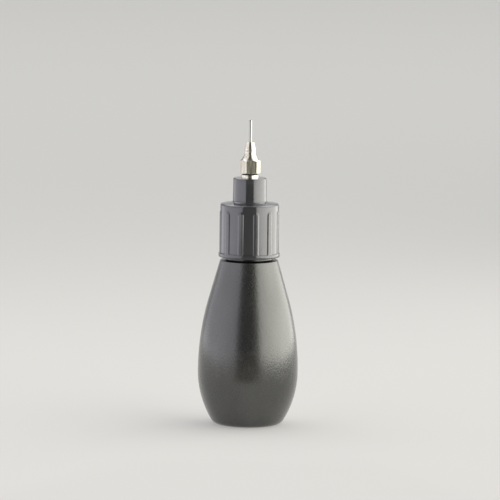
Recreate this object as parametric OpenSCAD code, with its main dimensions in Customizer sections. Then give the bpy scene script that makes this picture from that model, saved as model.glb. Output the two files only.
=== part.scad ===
// Glue applicator bottle: a soft teardrop squeeze bottle whose ribbed screw cap
// carries a screw-in metal tip with a fine steel needle.
// Millimetres, +Z up. The origin is the centre of the foot, on the surface the
// bottle stands on, and the front of the bottle faces -Y.

/* [Bottle] */
// Widest outside diameter
body_d = 34.6; // [29:0.1:42]
// Height of the widest point
belly_z = 18.5; // [14:0.5:22]
// Height of the flat shoulder that the neck rises from
shoulder_z = 57.1; // [47:0.1:70]
// Radius of the flank's arc, as a share of the one arc that would reach the shoulder
flank_share = 0.88; // [0.8:0.02:0.98]
// Radius of the flank below the widest point
lower_flank_r = 33; // [26:0.5:45]
// Radius of the rounded heel
heel_r = 3.3; // [2:0.1:6]
// Radius of the rim between flank and shoulder
rim_r = 0.5; // [0.4:0.05:1]
// Thickness of the blown wall
wall_t = 1; // [0.7:0.05:1.3]
// Thickness of the shoulder under the neck
shoulder_t = 1.4; // [1:0.05:2]
// Width of the flat ring the bottle stands on
foot_ring_w = 1.8; // [1:0.1:3]
// Depth of the hollow under the foot
foot_hollow = 1; // [0.5:0.1:1.5]

/* [Neck] */
// Outside diameter over the neck's thread
thread_d = 17.7; // [14.5:0.1:21.5]
// Depth of the screw thread, left clear between neck and cap
thread_depth = 0.9; // [0.7:0.05:1.1]
// Height of the neck above the shoulder
neck_h = 17.2; // [14:0.1:21]
// Wall of the neck below the thread
neck_wall = 1.95; // [1.4:0.05:2.4]
// Chamfer round the lip
lip_chamfer = 0.35; // [0.2:0.05:0.6]

/* [Screw cap] */
// Open height between shoulder and cap
cap_gap = 1.1; // [0.5:0.1:2]
// Clearance between the neck's thread and the cap's bore
thread_clearance = 0.2; // [0.1:0.05:0.4]
// Wall of the skirt at its top
skirt_wall = 1.1; // [0.8:0.05:1.5]
// Outward draft of the skirt from top to bottom
skirt_draft = 0.05; // [0:0.05:0.3]
// Thickness of the cap's top at the boss
cap_top_t = 1.7; // [1.2:0.1:2.5]
// Fall of the cap's top from the boss outwards, in degrees
crown_angle = 8; // [0:1:12]
// Radius of the cap's top edge
cap_edge_r = 0.7; // [0.5:0.1:1.6]
// Height of the flange round the cap's mouth
flange_h = 1.4; // [1:0.1:2.2]
// How far the flange stands out from the skirt
flange_proud = 0.4; // [0.35:0.05:0.8]
// Number of grip ribs
rib_count = 12; // [8:1:18]
// Width of a grip rib
rib_w = 1.9; // [1.4:0.1:2.4]
// How far a grip rib stands out from the skirt
rib_proud = 0.25; // [0.2:0.05:0.4]
// Plain band above the ribs
rib_drop = 2.7; // [1.8:0.1:5]
// Turn of the first rib from +X, in degrees
rib_turn = 13; // [0:1:44]
// Thickness of the sealing liner
liner_t = 1.2; // [0.8:0.1:1.6]

/* [Nozzle boss] */
// Diameter of the boss at its top
boss_d = 11.5; // [10.5:0.1:13]
// Height of the boss above the cap
boss_h = 8.3; // [7:0.1:10]
// Outward draft of the boss from top to bottom
boss_draft = 0.08; // [0:0.02:0.2]
// Thickness of the boss's end wall
boss_end_t = 1.6; // [1.2:0.1:2]
// Radius of the fillet at the foot of the boss
boss_fillet_r = 0.6; // [0.3:0.1:0.9]
// Radius of the boss's top edge
boss_edge_r = 0.35; // [0.2:0.05:0.6]

/* [Tip socket] */
// Diameter of the socket's visible collar
collar_d = 5.9; // [5.6:0.1:6.6]
// Height of the collar above the boss
collar_h = 1.1; // [0.8:0.1:1.6]
// Diameter of the socket inside the boss
socket_d = 8; // [7.4:0.1:8.4]
// Diameter of the socket's flange under the cap
socket_flange_d = 9.8; // [9:0.1:9.9]
// Thickness of the socket's flange
socket_flange_t = 0.9; // [0.6:0.1:1.1]

/* [Metal tip] */
// Hexagon across its flats
hex_af = 6.35; // [5.3:0.05:7.7]
// Height of the hexagon at its corners
hex_h = 4.3; // [3.6:0.1:6]
// Turn of the hexagon's first corner from +X, in degrees
hex_turn = 10; // [0:1:59]
// Height of the flare from hexagon to nose
flare_h = 2.5; // [2:0.1:3.2]
// Hollow radius of the flare
flare_r = 6; // [4:0.25:10]
// Diameter of the nose at its foot
nose_d = 3.76; // [3.4:0.02:4.2]
// Diameter of the nose at its top
nose_top_d = 3; // [2.6:0.05:3.3]
// Length of the nose above the flare
nose_h = 4; // [3.6:0.1:5.6]
// Diameter of the bead round the nose
bead_d = 4; // [3.9:0.02:4.4]
// Thread diameter of the stud
stud_thread_d = 4; // [3.4:0.1:4.8]
// Length of the stud that the socket holds
stud_l = 4.2; // [3.5:0.1:5.6]
// Diameter of the feed bore drilled up through the stud
feed_d = 1.8; // [1.4:0.1:2.2]
// Thickness of the gasket between tip and socket
gasket_t = 0.4; // [0.3:0.05:0.6]

/* [Needle] */
// Outside diameter of the tube
needle_d = 1.07; // [0.9:0.01:1.3]
// Bore of the tube
needle_bore_d = 0.69; // [0.4:0.01:0.75]
// Length that stands out of the nose
needle_out = 7.7; // [5:0.1:20]
// Length held inside the nose
needle_in = 6.9; // [6.2:0.1:8.5]

/* [Hidden] */
$fn = 96;

// Radial gaps between pieces
press_gap = 0.01;
set_gap = 0.03;
slip_gap = 0.05;
liner_gap = 0.25;
liner_flange_gap = 0.7;
// Length by which a cut runs past the face it opens
over = 1;

// Bottle: heel, lower flank and belly are arcs that meet on common tangents, and a straight
// flank leaves the belly's arc on its tangent to the shoulder
body_r = body_d / 2;
shoulder_lip = 1.1;
shoulder_r = thread_d / 2 + shoulder_lip;
flank_rise = shoulder_z - belly_z;
flank_drop = body_r - shoulder_r;
flank_r = flank_share * (flank_rise * flank_rise + flank_drop * flank_drop) / (2 * flank_drop);
flank_centre = [body_r - flank_r, belly_z];
to_shoulder = [shoulder_r, shoulder_z] - flank_centre;
flank_angle = atan2(to_shoulder.y, to_shoulder.x) - acos(flank_r / norm(to_shoulder));
lower_centre = [body_r - lower_flank_r, belly_z];
heel_angle = asin((belly_z - heel_r) / (lower_flank_r - heel_r));
foot_r = lower_centre.x + (lower_flank_r - heel_r) * cos(heel_angle);
heel_centre = [foot_r, heel_r];
rim_centre = [straight_flank_r(rim_r, shoulder_z - rim_r), shoulder_z - rim_r];
hollow_r = foot_r - foot_ring_w;
dome_r = (hollow_r * hollow_r + foot_hollow * foot_hollow) / (2 * foot_hollow);
dome_centre = [0, foot_hollow - dome_r];
dome_angle = acos(hollow_r / dome_r);

// Neck
neck_r = thread_d / 2 - thread_depth;
neck_bore_r = neck_r - neck_wall;
lip_z = shoulder_z + neck_h;

// Cap
cap_z = shoulder_z + cap_gap;
cap_roof_z = lip_z + liner_t;
cap_top_z = cap_roof_z + cap_top_t;
cap_bore_r = thread_d / 2 + thread_clearance;
skirt_top_r = cap_bore_r + skirt_wall;
skirt_r = skirt_top_r + skirt_draft;
flange_r = skirt_r + flange_proud;
flange_edge_r = 0.2;
mouth_chamfer = 0.35;
liner_r = cap_bore_r - liner_gap;
// The liner lies round the socket's flange
liner_bore_r = socket_flange_d / 2 + liner_flange_gap;
// The bead that keeps the liner in the cap
keeper_h = 0.7;
keeper_drop = 0.2;
keeper_proud = 0.4;
// A rib shows the crest of a round bar with a domed end, sunk in the skirt
rib_r = (rib_w * rib_w / 4 + rib_proud * rib_proud) / (2 * rib_proud);
rib_centre_r = skirt_r + rib_proud - rib_r;
rib_top_z = cap_top_z - rib_drop;

// Boss and socket
boss_r = boss_d / 2;
boss_foot_r = boss_r + boss_draft;
boss_top_z = cap_top_z + boss_h;
boss_roof_z = boss_top_z - boss_end_t;
collar_r = collar_d / 2;
socket_r = socket_d / 2;
socket_top_z = boss_top_z + collar_h;
socket_foot_z = cap_roof_z - socket_flange_t;
stud_thread_depth = 0.35;
stud_r = stud_thread_d / 2 - stud_thread_depth;
socket_bore_r = stud_thread_d / 2 + set_gap;
collar_edge = 0.15;

// Metal tip
gasket_z = socket_top_z;
hex_z = gasket_z + gasket_t;
flare_z = hex_z + hex_h;
nose_z = flare_z + flare_h;
hub_top_z = nose_z + nose_h;
stud_z = gasket_z - stud_l;
gasket_inset = 0.25;
gasket_r = collar_r - gasket_inset;
hex_corner_r = hex_af / 2 / cos(30);
// The bar's corners are turned off by a hair, and its lower end is chamfered
hex_turned_share = 0.993;
hex_turned_r = hex_turned_share * hex_corner_r;
hex_chamfer_inset = 0.1;
hex_chamfer_r = hex_af / 2 - hex_chamfer_inset;
hex_chamfer_h = 0.3;
nose_r = nose_d / 2;
nose_top_r = nose_top_d / 2;
bead_r = bead_d / 2;
// Heights on the nose as shares of its length
groove_share = 0.15;
bead_foot_share = 0.22;
bead_top_share = 0.36;
cone_share = 0.42;
nose_edge = 0.2;
stud_tip = 0.3;
flare_foot = [hex_turned_r, flare_z];
flare_top = [nose_r, nose_z];

// Needle
needle_r = needle_d / 2;
needle_bore_r = needle_bore_d / 2;
needle_seat_z = hub_top_z - needle_in;
needle_tip_z = hub_top_z + needle_out;
needle_edge = 0.08;
feed_r = feed_d / 2;

// Radius of the straight flank at a height, at a depth under its surface
function straight_flank_r(depth, z) =
    flank_centre.x + (flank_r - depth - (z - flank_centre.y) * sin(flank_angle)) / cos(flank_angle);

// Height of the cap's sloping top at a radius, at a height over its surface
function crown_z(r, height) = cap_top_z - (r - boss_foot_r) * tan(crown_angle) + height / cos(crown_angle);

// Points on a circle, from one angle to another
function arc(centre, r, from, to, steps) =
    [for (i = [0 : steps])
        let (angle = from + (to - from) * i / steps)
        centre + r * [cos(angle), sin(angle)]];

// Points on the hollow arc of radius r from a to b, with its centre on the right of that way
function hollow_arc(a, b, r, steps) =
    let (
        half = (b - a) / 2,
        reach = sqrt(r * r - half * half),
        centre = a + half + reach * [half.y, -half.x] / norm(half),
        from = atan2(a.y - centre.y, a.x - centre.x),
        to = atan2(b.y - centre.y, b.x - centre.x),
        turn = to - from
    )
    arc(centre, r, from, from + (turn > 180 ? turn - 360 : turn < -180 ? turn + 360 : turn), steps);

// Turns an outline of [radius, height] points about Z
module turned(outline) {
    rotate_extrude() polygon(outline);
}

module ring(z, h, outer_r, inner_r) {
    translate([0, 0, z]) difference() {
        cylinder(h = h, r = outer_r);
        translate([0, 0, -over]) cylinder(h = h + 2 * over, r = inner_r);
    }
}

// The blown bottle: teardrop wall, hollowed foot, flat shoulder and open neck
module bottle() {
    color([0.38, 0.38, 0.39]) turned(concat(
        arc(dome_centre, dome_r, 90, dome_angle, 6),
        arc(heel_centre, heel_r, -90, -heel_angle, 10),
        arc(lower_centre, lower_flank_r, -heel_angle, 0, 12),
        arc(flank_centre, flank_r, 0, flank_angle, 16),
        arc(rim_centre, rim_r, flank_angle, 90, 5),
        [
            [neck_r, shoulder_z],
            [neck_r, lip_z - lip_chamfer],
            [neck_r - lip_chamfer, lip_z],
            [neck_bore_r, lip_z],
            [neck_bore_r, shoulder_z - shoulder_t],
            [straight_flank_r(wall_t, shoulder_z - shoulder_t), shoulder_z - shoulder_t]
        ],
        arc(flank_centre, flank_r - wall_t, flank_angle, 0, 16),
        arc(lower_centre, lower_flank_r - wall_t, 0, -heel_angle, 12),
        arc(heel_centre, heel_r - wall_t, -heel_angle, -90, 10),
        arc(dome_centre, dome_r + wall_t, dome_angle, 90, 6)
    ));
}

// The soft ring that seals the lip against the cap
module cap_liner() {
    color([0.86, 0.86, 0.83]) ring(lip_z, liner_t, liner_r, liner_bore_r);
}

// One grip rib: an upright bar with a domed top
module rib() {
    translate([rib_centre_r, 0, 0]) turned(concat(
        [[0, cap_z + flange_h / 2], [rib_r, cap_z + flange_h / 2]],
        arc([0, rib_top_z - rib_r], rib_r, 0, 90, 8)
    ));
}

// Everything inside the cap: the bore with the liner's keeper, and the seat of the socket
module cap_hollow() {
    keeper_z = lip_z - keeper_drop;
    turned([
        [0, cap_z - over],
        [cap_bore_r + mouth_chamfer, cap_z - over],
        [cap_bore_r + mouth_chamfer, cap_z],
        [cap_bore_r, cap_z + mouth_chamfer],
        [cap_bore_r, keeper_z - keeper_h],
        [cap_bore_r - keeper_proud, keeper_z - keeper_h / 2],
        [cap_bore_r, keeper_z],
        [cap_bore_r, cap_roof_z],
        [socket_r + set_gap, cap_roof_z],
        [socket_r + set_gap, boss_roof_z],
        [collar_r + set_gap, boss_roof_z],
        [collar_r + set_gap, boss_top_z + over],
        [0, boss_top_z + over]
    ]);
}

// The moulded screw cap: flange, ribbed skirt, sloping top and nozzle boss
module cap() {
    edge_r = skirt_top_r - cap_edge_r;
    edge_centre = [edge_r, crown_z(edge_r, -cap_edge_r)];
    fillet_r = boss_foot_r + boss_fillet_r;
    fillet_centre = [fillet_r, crown_z(fillet_r, boss_fillet_r)];
    boss_edge_centre = [boss_r - boss_edge_r, boss_top_z - boss_edge_r];
    flange_centre = [flange_r - flange_edge_r, cap_z + flange_edge_r];
    flange_top_centre = [flange_r - flange_edge_r, cap_z + flange_h - flange_edge_r];
    color([0.36, 0.36, 0.38]) difference() {
        union() {
            turned(concat(
                [[0, cap_z]],
                arc(flange_centre, flange_edge_r, -90, 0, 4),
                arc(flange_top_centre, flange_edge_r, 0, 90, 4),
                [[skirt_r, cap_z + flange_h]],
                arc(edge_centre, cap_edge_r, 0, 90 - crown_angle, 8),
                arc(fillet_centre, boss_fillet_r, 270 - crown_angle, 180, 6),
                arc(boss_edge_centre, boss_edge_r, 0, 90, 4),
                [[0, boss_top_z]]
            ));
            for (i = [0 : rib_count - 1]) rotate(rib_turn + i * 360 / rib_count) rib();
        }
        cap_hollow();
    }
}

// The plated bush that is set in the boss from below and takes the tip's stud
module tip_socket() {
    color([0.80, 0.78, 0.72]) turned([
        [socket_bore_r, socket_foot_z],
        [socket_flange_d / 2, socket_foot_z],
        [socket_flange_d / 2, cap_roof_z],
        [socket_r, cap_roof_z],
        [socket_r, boss_roof_z - set_gap],
        [collar_r, boss_roof_z - set_gap],
        [collar_r, socket_top_z - collar_edge],
        [collar_r - collar_edge, socket_top_z],
        [socket_bore_r, socket_top_z]
    ]);
}

// The thin dark washer on the stud
module tip_gasket() {
    color([0.10, 0.10, 0.10]) ring(gasket_z, gasket_t, gasket_r, stud_r + slip_gap);
}

// The turned tip: stud, hexagon, hollow flare, grooved nose, and a bore for the needle
module tip_hub() {
    color([0.82, 0.80, 0.74]) difference() {
        intersection() {
            turned(concat(
                [
                    [0, stud_z],
                    [stud_r - stud_tip, stud_z],
                    [stud_r, stud_z + stud_tip],
                    [stud_r, hex_z],
                    [hex_chamfer_r, hex_z],
                    [hex_turned_r, hex_z + hex_chamfer_h]
                ],
                hollow_arc(flare_foot, flare_top, flare_r, 8),
                [
                    [nose_r, nose_z + groove_share * nose_h],
                    [bead_r, nose_z + bead_foot_share * nose_h],
                    [bead_r, nose_z + bead_top_share * nose_h],
                    [nose_r, nose_z + cone_share * nose_h],
                    [nose_top_r, hub_top_z - nose_edge],
                    [nose_top_r - nose_edge, hub_top_z],
                    [0, hub_top_z]
                ]
            ));
            translate([0, 0, stud_z - over]) rotate(hex_turn)
                cylinder(h = hub_top_z - stud_z + 2 * over, r = hex_corner_r, $fn = 6);
        }
        translate([0, 0, stud_z - over])
            cylinder(h = needle_seat_z - stud_z + over, r = feed_r);
        translate([0, 0, needle_seat_z - over])
            cylinder(h = needle_in + 2 * over, r = needle_r + press_gap);
    }
}

// The steel tube that lays the glue
module needle() {
    color([0.78, 0.78, 0.79]) turned([
        [needle_bore_r, needle_seat_z],
        [needle_r, needle_seat_z],
        [needle_r, needle_tip_z - needle_edge],
        [needle_r - needle_edge, needle_tip_z],
        [needle_bore_r, needle_tip_z]
    ]);
}

bottle();
cap_liner();
cap();
tip_socket();
tip_gasket();
tip_hub();
needle();
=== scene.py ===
import math

import bmesh
import bpy
from mathutils import Matrix, Vector


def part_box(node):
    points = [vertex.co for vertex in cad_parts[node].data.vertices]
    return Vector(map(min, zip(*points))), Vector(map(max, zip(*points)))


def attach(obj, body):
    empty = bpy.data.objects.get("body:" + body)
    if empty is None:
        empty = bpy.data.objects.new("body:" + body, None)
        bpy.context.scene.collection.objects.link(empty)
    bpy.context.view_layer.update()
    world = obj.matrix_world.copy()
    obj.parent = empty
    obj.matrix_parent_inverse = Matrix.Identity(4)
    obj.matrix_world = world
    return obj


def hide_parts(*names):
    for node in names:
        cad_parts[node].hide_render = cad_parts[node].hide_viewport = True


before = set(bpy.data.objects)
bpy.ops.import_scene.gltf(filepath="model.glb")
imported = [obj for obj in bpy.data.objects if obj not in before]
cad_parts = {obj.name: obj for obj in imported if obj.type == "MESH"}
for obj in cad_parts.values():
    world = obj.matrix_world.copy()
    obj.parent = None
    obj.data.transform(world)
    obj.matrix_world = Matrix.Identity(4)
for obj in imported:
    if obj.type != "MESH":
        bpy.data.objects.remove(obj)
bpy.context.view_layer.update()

bl_info = {
    "name": "Glue applicator bottle",
    "version": (1, 0, 0),
    "blender": (4, 5, 0),
    "location": "View3D > Sidebar > Glue Bottle",
    "description": "Builds a squeeze bottle with a ribbed screw cap and a needle tip",
    "category": "Add Mesh",
}

# Metres are the unit everywhere. Sizes are written in millimetres times MM.
MM = 0.001
BOX = {name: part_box(name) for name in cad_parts}

# Edges that bend by more than this stay sharp on a smooth piece
SHARP_ANGLE = math.radians(38)
HEX_SHARP_ANGLE = math.radians(25)
# Points closer than this become one
MERGE_DISTANCE = 0.002 * MM
# Columns of faces round each turned piece. The cap's are counted for one rib.
SEGMENTS = {"bottle": 320, "rib": 54, "liner": 128, "gasket": 96, "socket": 96, "needle": 64}
# A screw ridge's widths at foot and crest, its reach into the wall, the turns over which it runs out, and its
# columns of faces
RIDGES = {
    "cap": (1.35 * MM, 0.5 * MM, 0.3 * MM, 0.12, 200),
    "tip": (0.34 * MM, 0.08 * MM, 0.1 * MM, 0.2, 260),
}
# Room round the socket in the cap's boss, and the boss's roof over the socket's body
FIT_GAP = 0.03 * MM
BOSS_ROOF = 1.6 * MM
# Between these values lies most of a noise
NOISE_LOW, NOISE_HIGH = 0.3, 0.7
# At these values of a noise a worn patch begins and is full
PATCH_LOW, PATCH_HIGH = 0.45, 0.65
# Layers of finer noise in each pattern
MOTTLE_DETAIL, GRAIN_DETAIL, PATCH_DETAIL = 3.0, 2.0, 4.0

# The nodes that are used most, and how nodes are laid out in the editor
MATH = "ShaderNodeMath"
VECTOR = "ShaderNodeVectorMath"
NODE_STEP = (180, -220)
NODES_IN_ROW = 12


def length(name, default, description):
    """A length of the object, shown in the sidebar in the scene's units."""
    unit = {"subtype": "DISTANCE", "unit": "LENGTH", "precision": 5}
    return bpy.props.FloatProperty(name=name, description=description, default=default, min=0.0, **unit)


def angle(name, degrees, description):
    """An angle, shown in degrees."""
    turn = math.radians(degrees)
    return bpy.props.FloatProperty(name=name, description=description, default=turn, subtype="ANGLE")


def number(name, default, description):
    """A plain number."""
    return bpy.props.FloatProperty(name=name, description=description, default=default, min=0.0)


def count(name, default, description):
    """A whole number."""
    return bpy.props.IntProperty(name=name, description=description, default=default, min=1)


def linear(code):
    """The linear colour of an sRGB hex code."""
    channels = [int(code[i : i + 2], 16) / 255 for i in (1, 3, 5)]
    return tuple(c / 12.92 if c <= 0.04045 else ((c + 0.055) / 1.055) ** 2.4 for c in channels)


def colour(name, code, description):
    """A colour, given as an sRGB hex code."""
    kind = {"size": 3, "min": 0.0, "max": 1.0, "subtype": "COLOR"}
    return bpy.props.FloatVectorProperty(name=name, description=description, default=linear(code), **kind)


class BottleSettings(bpy.types.PropertyGroup):
    """Sizes and colour of the blown bottle."""

    body_r: length("Body radius", BOX["bottle"][1].x, "Widest outside radius")
    belly_z: length("Belly height", 18.5 * MM, "Height of the widest point")
    shoulder_z: length("Shoulder height", BOX["cap"][0].z - 1.1 * MM, "Height of the flat shoulder")
    shoulder_r: length("Shoulder radius", 9.95 * MM, "Radius at which flank and shoulder would meet")
    flank_share: number("Flank share", 0.88, "Flank's radius, as a share of one up to the shoulder")
    lower_flank_r: length("Lower flank radius", 33 * MM, "Radius of the flank below the widest point")
    heel_r: length("Heel radius", 3.3 * MM, "Radius of the rounded heel")
    rim_r: length("Rim radius", 0.5 * MM, "Radius between flank and shoulder")
    wall: length("Wall", 1 * MM, "Thickness of the blown wall")
    shoulder_wall: length("Shoulder wall", 1.4 * MM, "Thickness of the shoulder")
    foot_ring: length("Foot ring", 1.8 * MM, "Width of the ring the bottle stands on")
    foot_hollow: length("Foot hollow", 1 * MM, "Depth of the hollow under the foot")
    neck_r: length("Neck radius", 7.95 * MM, "Radius at the root of the neck's thread")
    neck_bore_r: length("Neck bore", 6 * MM, "Inside radius of the neck")
    lip_z: length("Lip height", BOX["bottle"][1].z, "Height of the lip")
    seam: length("Mould line", 0.12 * MM, "Depth of the line that the mould's halves leave on both sides")
    tint: colour("Plastic", "#575756", "Colour of the smoke-grey polyethylene")


class CapSettings(bpy.types.PropertyGroup):
    """Sizes and colours of the screw cap and its liner."""

    mouth_z: length("Mouth height", BOX["cap"][0].z, "Height of the cap's lower edge")
    bore_r: length("Bore", 9.05 * MM, "Inside radius of the skirt")
    skirt_r: length("Skirt radius", 10.2 * MM, "Outside radius at the foot of the skirt")
    skirt_top_r: length("Skirt top radius", 10.15 * MM, "Outside radius at the top of the skirt")
    flange_r: length("Flange radius", BOX["cap"][1].x, "Radius of the flange round the mouth")
    flange_h: length("Flange height", 1.4 * MM, "Height of the flange")
    flange_edge_r: length("Flange edge", 0.2 * MM, "Radius of the flange's edges")
    roof_z: length("Roof height", BOX["cap_liner"][1].z, "Height of the ceiling inside the cap")
    top_z: length("Top height", BOX["cap_liner"][1].z + 1.7 * MM, "Height of the cap's top at the boss")
    crown: angle("Crown", 8, "Fall of the cap's top from the boss outwards")
    edge_r: length("Edge radius", 0.7 * MM, "Radius of the cap's top edge")
    rib_count: count("Ribs", 12, "Number of grip ribs")
    rib_turn: angle("Rib turn", 13, "Turn of the first rib from +X")
    rib_w: length("Rib width", 2.3 * MM, "Width of a rib over its flanks")
    rib_crest_w: length("Rib crest width", 1.15 * MM, "Width of a rib's flat crest")
    rib_crest_r: length("Rib crest", 10.45 * MM, "Radius of the cap over its ribs")
    rib_top_z: length("Rib top", BOX["cap_liner"][1].z - 1 * MM, "Height of the ribs' domed ends")
    boss_r: length("Boss radius", 5.75 * MM, "Radius of the nozzle boss at its top")
    boss_draft: length("Boss draft", 0.08 * MM, "Outward draft of the boss")
    boss_fillet_r: length("Boss fillet", 0.6 * MM, "Fillet at the foot of the boss")
    boss_edge_r: length("Boss edge", 0.35 * MM, "Radius of the boss's top edge")
    liner_bore_r: length("Liner bore", 5.6 * MM, "Inside radius of the liner")
    tint: colour("Plastic", "#4F4F52", "Colour of the smoke-grey polypropylene")
    liner_tint: colour("Liner", "#E4E2DA", "Colour of the foam liner")


class TipSettings(bpy.types.PropertyGroup):
    """Sizes and colours of the socket, gasket, metal tip and needle."""

    collar_r: length("Collar radius", 2.95 * MM, "Radius of the socket's visible collar")
    socket_r: length("Socket radius", 4 * MM, "Radius of the socket inside the boss")
    socket_bore_r: length("Socket bore", 2.03 * MM, "Radius of the socket's threaded bore")
    socket_flange_h: length("Socket flange", 0.9 * MM, "Height of the flange at the socket's foot")
    gasket_bore_r: length("Gasket bore", 1.7 * MM, "Inside radius of the gasket")
    hex_flats: length("Hexagon", 6.35 * MM, "Hexagon across its flats")
    hex_turn: angle("Hexagon turn", 10, "Turn of the first corner from +X")
    hex_h: length("Hexagon height", 4.3 * MM, "Height of the hexagon at its corners")
    flare_h: length("Flare height", 2.5 * MM, "Height of the flare above the hexagon")
    flare_r: length("Flare radius", 6 * MM, "Hollow radius of the flare")
    nose_r: length("Nose radius", 1.88 * MM, "Radius of the nose at its foot")
    nose_top_r: length("Nose top radius", 1.5 * MM, "Radius of the nose at its top")
    bead_r: length("Bead radius", 2 * MM, "Radius of the bead round the nose")
    stud_r: length("Stud radius", 1.65 * MM, "Radius at the root of the stud's thread")
    feed_r: length("Feed bore", 0.9 * MM, "Radius of the bore through the stud")
    needle_r: length("Needle radius", 0.535 * MM, "Outside radius of the needle")
    needle_bore_r: length("Needle bore", 0.345 * MM, "Inside radius of the needle")
    plating: colour("Plating", "#CDC8BA", "Colour of the nickel plating")
    bar: colour("Bar", "#A9A59A", "Colour of the plating on the drawn flats")
    steel: colour("Steel", "#A0A09E", "Colour of the needle")
    rubber: colour("Rubber", "#161615", "Colour of the gasket")


class ThreadSettings(bpy.types.PropertyGroup):
    """Sizes of the two screws: the cap's on the neck, and the tip's in its socket."""

    cap_pitch: length("Cap pitch", 3.175 * MM, "Rise of the cap's thread in one turn")
    cap_turns: number("Cap turns", 2.1, "Turns of thread on the neck and in the cap")
    cap_drop: length("Cap drop", 2.4 * MM, "Depth of the thread's upper end under the lip")
    neck_ridge: length("Neck ridge", 0.85 * MM, "Height of the ridge on the neck")
    cap_ridge: length("Cap ridge", 0.8 * MM, "Height of the ridge in the cap")
    tip_pitch: length("Tip pitch", 0.7 * MM, "Rise of the tip's thread in one turn")
    tip_turns: number("Tip turns", 5.2, "Turns of thread on the stud and in the socket")
    tip_drop: length("Tip drop", 0.5 * MM, "Depth of the thread's upper end under the collar's top")
    stud_ridge: length("Stud ridge", 0.32 * MM, "Height of the ridge on the stud")
    socket_ridge: length("Socket ridge", 0.28 * MM, "Height of the ridge in the socket")


class StageSettings(bpy.types.PropertyGroup):
    """Camera, lamps and floor."""

    distance: length("Camera distance", 1.6, "Distance from the camera to the point it looks at")
    elevation: angle("Elevation", 7, "Angle of the camera above the horizon")
    roll: angle("Roll", 0.65, "Lean of the picture")
    view_width: length("View width", 0.1725, "Width that the picture shows at the bottle")
    target_x: length("Target side", 0.3 * MM, "Sideways place of the point the camera looks at")
    target_z: length("Target height", 60.4 * MM, "Height of the point the camera looks at")
    floor: colour("Floor", "#BEBDBA", "Colour of the floor")
    # The card is painted shade that only the shine shows: a dark reflection in front of the bottle
    card: colour("Card", "#76746C", "Colour of the dark card in front of the bottle")
    paleness: colour("Floor paleness", "#D6D5D2", "Even paleness that the floor shows")
    evenness: number("Floor evenness", 0.45, "Share of that paleness in the floor")
    left: number("Left lamp", 1.15, "Brightness of the left lamp")
    right: number("Right lamp", 2.5, "Brightness of the right lamp")
    left_spread: angle("Left spread", 170, "Angle over which the left lamp shines")
    right_spread: angle("Right spread", 150, "Angle over which the right lamp shines")
    top: number("Top lamp", 0.55, "Brightness of the top lamp")
    rear: number("Rear lamp", 1.8, "Brightness of the lamp over the floor behind")
    back: number("Back lamp", 0.5, "Brightness of the wall of light behind the floor")
    sky: number("Sky", 0.4, "Brightness of the soft light from above that reaches the whole floor")
    sky_size: angle("Sky size", 80, "Angle that the soft light from above covers")
    sky_lean: angle("Sky lean", 30, "Lean of the soft light from above towards the back")
    room: number("Room", 0.07, "Brightness of the room")


def arc(centre, r, start, end, steps):
    """Points on a circle from one angle to another, in degrees."""
    turns = [math.radians(start + (end - start) * i / steps) for i in range(steps + 1)]
    return [(centre[0] + r * math.cos(t), centre[1] + r * math.sin(t)) for t in turns]


def line(a, b, steps):
    """Points from a to b, without b."""
    return [(a[0] + (b[0] - a[0]) * i / steps, a[1] + (b[1] - a[1]) * i / steps) for i in range(steps)]


def add(tree, kind, inputs=None, **settings):
    """Adds a node and returns its outputs. Inputs are values or sockets, by name or number, and settings are
    the node's own."""
    node = tree.nodes.new(kind)
    row, column = divmod(len(tree.nodes), NODES_IN_ROW)
    node.location = (NODE_STEP[0] * column, NODE_STEP[1] * row)
    for key, value in settings.items():
        setattr(node, key, value)
    for key, value in (inputs or {}).items():
        if isinstance(value, bpy.types.NodeSocket):
            tree.links.new(value, node.inputs[key])
        else:
            node.inputs[key].default_value = value
    return node.outputs


def new_tree(name, **sockets):
    """A geometry tree with one geometry input and output, a material input and other named inputs, whose
    kinds are given. Returns it and its inputs."""
    tree = bpy.data.node_groups.new(name, "GeometryNodeTree")
    tree.interface.new_socket("Geometry", in_out="INPUT", socket_type="NodeSocketGeometry")
    tree.interface.new_socket("Geometry", in_out="OUTPUT", socket_type="NodeSocketGeometry")
    for label, kind in {**sockets, "Material": "Material"}.items():
        title = label.replace("_", " ")
        tree.interface.new_socket(title, in_out="INPUT", socket_type="NodeSocket" + kind)
    return tree, add(tree, "NodeGroupInput")


def close_tree(tree, geometry, material):
    """Ends a tree: doubles merged, instances realized, smooth, with its material."""
    doubles = {"Geometry": geometry, "Distance": MERGE_DISTANCE}
    merged = add(tree, "GeometryNodeMergeByDistance", doubles)["Geometry"]
    real = add(tree, "GeometryNodeRealizeInstances", {"Geometry": merged})["Geometry"]
    smooth = add(tree, "GeometryNodeSetShadeSmooth", {"Geometry": real})["Geometry"]
    painted = add(tree, "GeometryNodeSetMaterial", {"Geometry": smooth, "Material": material})["Geometry"]
    add(tree, "NodeGroupOutput", {"Geometry": painted})
    return tree


def swept_grid(tree, outline, columns):
    """A grid with a row for each point of the outline. Returns it, the outline's point, and the share of the
    columns that has gone by."""
    rows = add(tree, "GeometryNodeAttributeDomainSize", {"Geometry": outline}, component="MESH")[0]
    lines = add(tree, "FunctionNodeIntegerMath", {0: columns, 1: 1}, operation="ADD")[0]
    grid = add(tree, "GeometryNodeMeshGrid", {"Vertices X": rows, "Vertices Y": lines})["Mesh"]
    index = add(tree, "GeometryNodeInputIndex")[0]
    row = add(tree, "FunctionNodeIntegerMath", {0: index, 1: lines}, operation="DIVIDE_FLOOR")[0]
    column = add(tree, "FunctionNodeIntegerMath", {0: index, 1: lines}, operation="MODULO")[0]
    share = add(tree, MATH, {0: column, 1: columns}, operation="DIVIDE")[0]
    place = add(tree, "GeometryNodeInputPosition")[0]
    sample = {"Geometry": outline, "Value": place, "Index": row}
    point = add(tree, "GeometryNodeSampleIndex", sample, data_type="FLOAT_VECTOR")["Value"]
    return grid, point, share


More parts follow.
